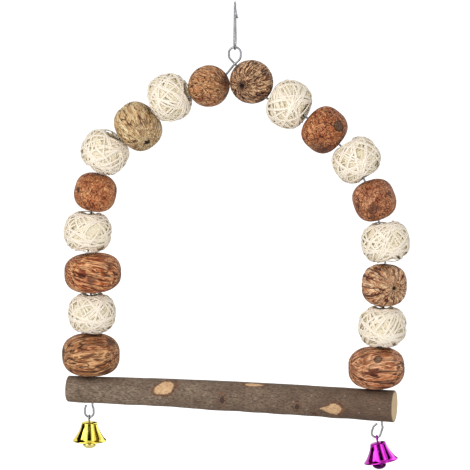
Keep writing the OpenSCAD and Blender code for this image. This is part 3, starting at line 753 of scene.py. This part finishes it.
def with_ends(values, end_value):
    """A field on the bark, with one value on both sawn ends, as the perch's one grid has it."""
    pad = np.full((len(left_end), around_steps), float(end_value))
    return [np.concatenate([pad, values, pad])]


# how far the bark's last 0.12 mm takes the colour of the sawn wood
cut_edge = 0.3 * np.clip(1 - edge_in / 0.12, 0, 1)

# Bark of a young branch, dry and matt, with sawn wood at its ends and in its scars. The eye sees
# fibres 0.7 mm wide and three times as long, patches of 10 mm, flecks 5 mm apart, a browner
# right end, and year rings 0.75 mm apart in the sawn wood.
bark_material, bark_tree, bark_out = new_material("branch_bark_and_sawn_wood")
bark_where = add(bark_tree, "ShaderNodeTexCoord")
stretched = add(bark_tree, "ShaderNodeMapping", Vector=bark_where.outputs["Object"],
                Scale=(0.33, 1, 1))
fibres = add(bark_tree, "ShaderNodeTexNoise", Vector=stretched.outputs[0], Scale=1500.0,
             Detail=6.0, Roughness=0.75)
patches = add(bark_tree, "ShaderNodeTexNoise", Vector=bark_where.outputs["Object"], Scale=95.0,
              Detail=4.0)
flecks = add(bark_tree, "ShaderNodeTexVoronoi", Vector=bark_where.outputs["Object"], Scale=210.0)
patch_span = add(bark_tree, "ShaderNodeMapRange", Value=patches.outputs["Fac"],
                 From_Min=0.3, From_Max=0.7)
bark_parts = add(bark_tree, "ShaderNodeSeparateXYZ", Vector=bark_where.outputs["Object"])
bark_way = add(bark_tree, "ShaderNodeMapRange", Value=bark_parts.outputs["X"],
               From_Min=-0.06, From_Max=0.07)
bark_left = add(bark_tree, "ShaderNodeMixRGB", Fac=patch_span.outputs[0],
                Color1=linear("#7a6450"), Color2=linear("#9a8570"))
bark_right = add(bark_tree, "ShaderNodeMixRGB", Fac=patch_span.outputs[0],
                 Color1=linear("#5d4433"), Color2=linear("#7b614a"))
bark_base = add(bark_tree, "ShaderNodeMixRGB", Fac=bark_way.outputs[0],
                Color1=bark_left.outputs[0], Color2=bark_right.outputs[0])
fibre_span = add(bark_tree, "ShaderNodeMapRange", Value=fibres.outputs["Fac"],
                 From_Min=0.4, From_Max=0.58)
bark_fibre = add(bark_tree, "ShaderNodeMixRGB", Fac=fibre_span.outputs[0],
                 Color1=linear("#483a2e"), Color2=bark_base.outputs[0])
fleck_span = add(bark_tree, "ShaderNodeMapRange", Value=flecks.outputs["Distance"],
                 From_Min=0.16, From_Max=0.06, To_Max=0.45)
bark_fleck = add(bark_tree, "ShaderNodeMixRGB", Fac=fleck_span.outputs[0],
                 Color1=bark_fibre.outputs[0], Color2=linear("#a99c8c"))
pale_mask, ring_mask, knot_mask, cut_mask = (
    add(bark_tree, "ShaderNodeAttribute", {"attribute_name": key})
    for key in ("scar_pale", "scar_ring", "knot", "cut"))
scar_wood = add(bark_tree, "ShaderNodeMixRGB", Fac=fibre_span.outputs[0],
                Color1=linear("#b08458"), Color2=linear("#dcb88e"))
ring_bark = add(bark_tree, "ShaderNodeMixRGB", Fac=fibre_span.outputs[0],
                Color1=linear("#3c2619"), Color2=linear("#7c5236"))
centred = add(bark_tree, "ShaderNodeMapping", Vector=bark_where.outputs["Object"],
              Location=(0, 0, -(perch_top - 9) * MM))
year_rings = add(bark_tree, "ShaderNodeTexWave", {"wave_type": "RINGS", "rings_direction": "X"},
                 Vector=centred.outputs[0], Scale=420.0, Distortion=1.5, Detail=2.0)
sawn_wood = add(bark_tree, "ShaderNodeMixRGB", Fac=year_rings.outputs["Fac"],
                Color1=linear("#d9ba88"), Color2=linear("#e8cfa6"))
bark_colour = bark_fleck
for mask, tone in ((pale_mask, scar_wood.outputs[0]), (ring_mask, ring_bark.outputs[0]),
                   (knot_mask, linear("#3e291d")), (cut_mask, sawn_wood.outputs[0])):
    bark_colour = add(bark_tree, "ShaderNodeMixRGB", Fac=mask.outputs["Fac"],
                      Color1=bark_colour.outputs[0], Color2=tone)
bark_bump = add(bark_tree, "ShaderNodeBump", Strength=0.5, Distance=0.0004,
                Height=fibres.outputs["Fac"])
bark_shader = add(bark_tree, "ShaderNodeBsdfPrincipled", Base_Color=bark_colour.outputs[0],
                  Roughness=0.85, Normal=bark_bump.outputs[0])
bark_tree.links.new(bark_shader.outputs[0], bark_out.inputs["Surface"])

branch = grid_object("bark_branch", [points * MM], False, bark_material,
                     {"scar_pale": with_ends(scar_pale, 0), "scar_ring": with_ends(scar_ring, 0),
                      "knot": with_ends(knot, 0), "cut": with_ends(cut_edge, 1)})
solid = bmesh.new()
solid.from_mesh(branch.data)
bmesh.ops.holes_fill(solid, edges=[e for e in solid.edges if e.is_boundary], sides=0)
bmesh.ops.recalc_face_normals(solid, faces=solid.faces)
solid.to_mesh(branch.data)
solid.free()
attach(branch, "swing")
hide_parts("perch")


# -------------------------------------------------------------------- bells
# Spun brass bells, plated mirror bright in gold and in purple. Each hangs by a
# wire eyelet that slides in the arch wire's lower loop, and holds its clapper.

def plating(name, colour, edge):
    """Coloured plating over polished metal: a clean coloured mirror, which the eye knows by its
    sharp dark and white streaks, with a slight waviness of 6 mm."""
    material, tree, out = new_material(name)
    where = add(tree, "ShaderNodeTexCoord")
    wave = add(tree, "ShaderNodeTexNoise", Vector=where.outputs["Object"], Scale=160.0,
               Detail=1.0)
    tone = add(tree, "ShaderNodeMixRGB", Fac=wave.outputs["Fac"],
               Color1=linear(colour), Color2=linear(edge))
    bump = add(tree, "ShaderNodeBump", Strength=0.12, Distance=0.0006,
               Height=wave.outputs["Fac"])
    shader = add(tree, "ShaderNodeBsdfPrincipled", Base_Color=tone.outputs[0], Metallic=1.0,
                 Roughness=0.1, Normal=bump.outputs[0])
    tree.links.new(shader.outputs[0], out.inputs["Surface"])
    return material


gold_plating = plating("gold_plated_brass", "#f6e468", "#e6cc48")
purple_plating = plating("purple_plated_brass", "#d83ccc", "#a824a0")
dark_plating = plating("dark_purple_plating", "#6a1a66", "#3c1040")
gold_knob = plating("pale_gold_plating", "#f6ec9c", "#ecdc78")


def turned(name, outline, steps, place, tilt, material):
    """A shape turned about its own Z axis from an outline of (radius, height) points in mm, then
    tilted about Y and put in its place."""
    a = np.linspace(0, 2 * np.pi, steps, endpoint=False)
    local = np.stack([outline[:, 0, None] * np.cos(a), outline[:, 0, None] * np.sin(a),
                      np.repeat(outline[:, 1, None], steps, axis=1)], axis=-1)
    c, s = math.cos(tilt), math.sin(tilt)
    spun = np.stack([local[..., 0] * c + local[..., 2] * s, local[..., 1],
                     -local[..., 0] * s + local[..., 2] * c], axis=-1)
    return grid_object(name, [spun * MM + np.array(place)], True, material)


# In mm: the crown's height from the bell's joint, the bell's and its dome's height, the radius
# of the shoulder under the dome and of the mouth, and the wall.
bell_top, bell_high, dome = -5.51, 12.4, 1.36
shoulder, mouth = 4.9, 10.5
bell_wall = 0.45
bell_steps = 128
purple_tilt = math.radians(-10)


def bell_outline(wall):
    """Outer face from the crown hole over the dome and down the flare to the rolled rim, then
    back up inside. The flare widens as a power of the way down, with a small lip at the rim."""
    def face(inset):
        """One face of the wall, set in from the outer one."""
        a = np.linspace(0.12, np.pi / 2, 14)
        crown_high = bell_top - inset - (dome - 0.1 * inset) * (1 - np.cos(a))
        crown = np.stack([(shoulder - inset) * np.sin(a), crown_high], 1)
        u = np.linspace(0, 1, 40)[1:]
        lip = 0.35 * np.clip((u - 0.84) / 0.1, 0, 1)
        wide = np.minimum(shoulder + (mouth - shoulder) * u ** 1.5 + lip, mouth)
        flare = np.stack([wide - inset, bell_top - dome - (bell_high - dome) * u], 1)
        return np.concatenate([crown, flare])
    outer, inner = face(0.0), face(wall)[::-1]
    rim_eased = 0.06
    outer[-1, 0] -= rim_eased
    return np.concatenate([outer, inner])


for tint, plate, tilt in (("gold", gold_plating, 0.0), ("purple", purple_plating, purple_tilt)):
    shell = turned(tint + "_plated_bell", bell_outline(bell_wall), bell_steps,
                   spins[tint + "_bell_body"]["pos_m"], tilt, plate)
    shell.data.flip_normals()
    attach(shell, tint + "_bell_body")
    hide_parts(tint + "_bell")
    finish_node(tint + "_bell_hanger", nickel_wire if tint == "gold" else purple_plating)
    finish_node(tint + "_clapper", gold_knob if tint == "gold" else dark_plating)
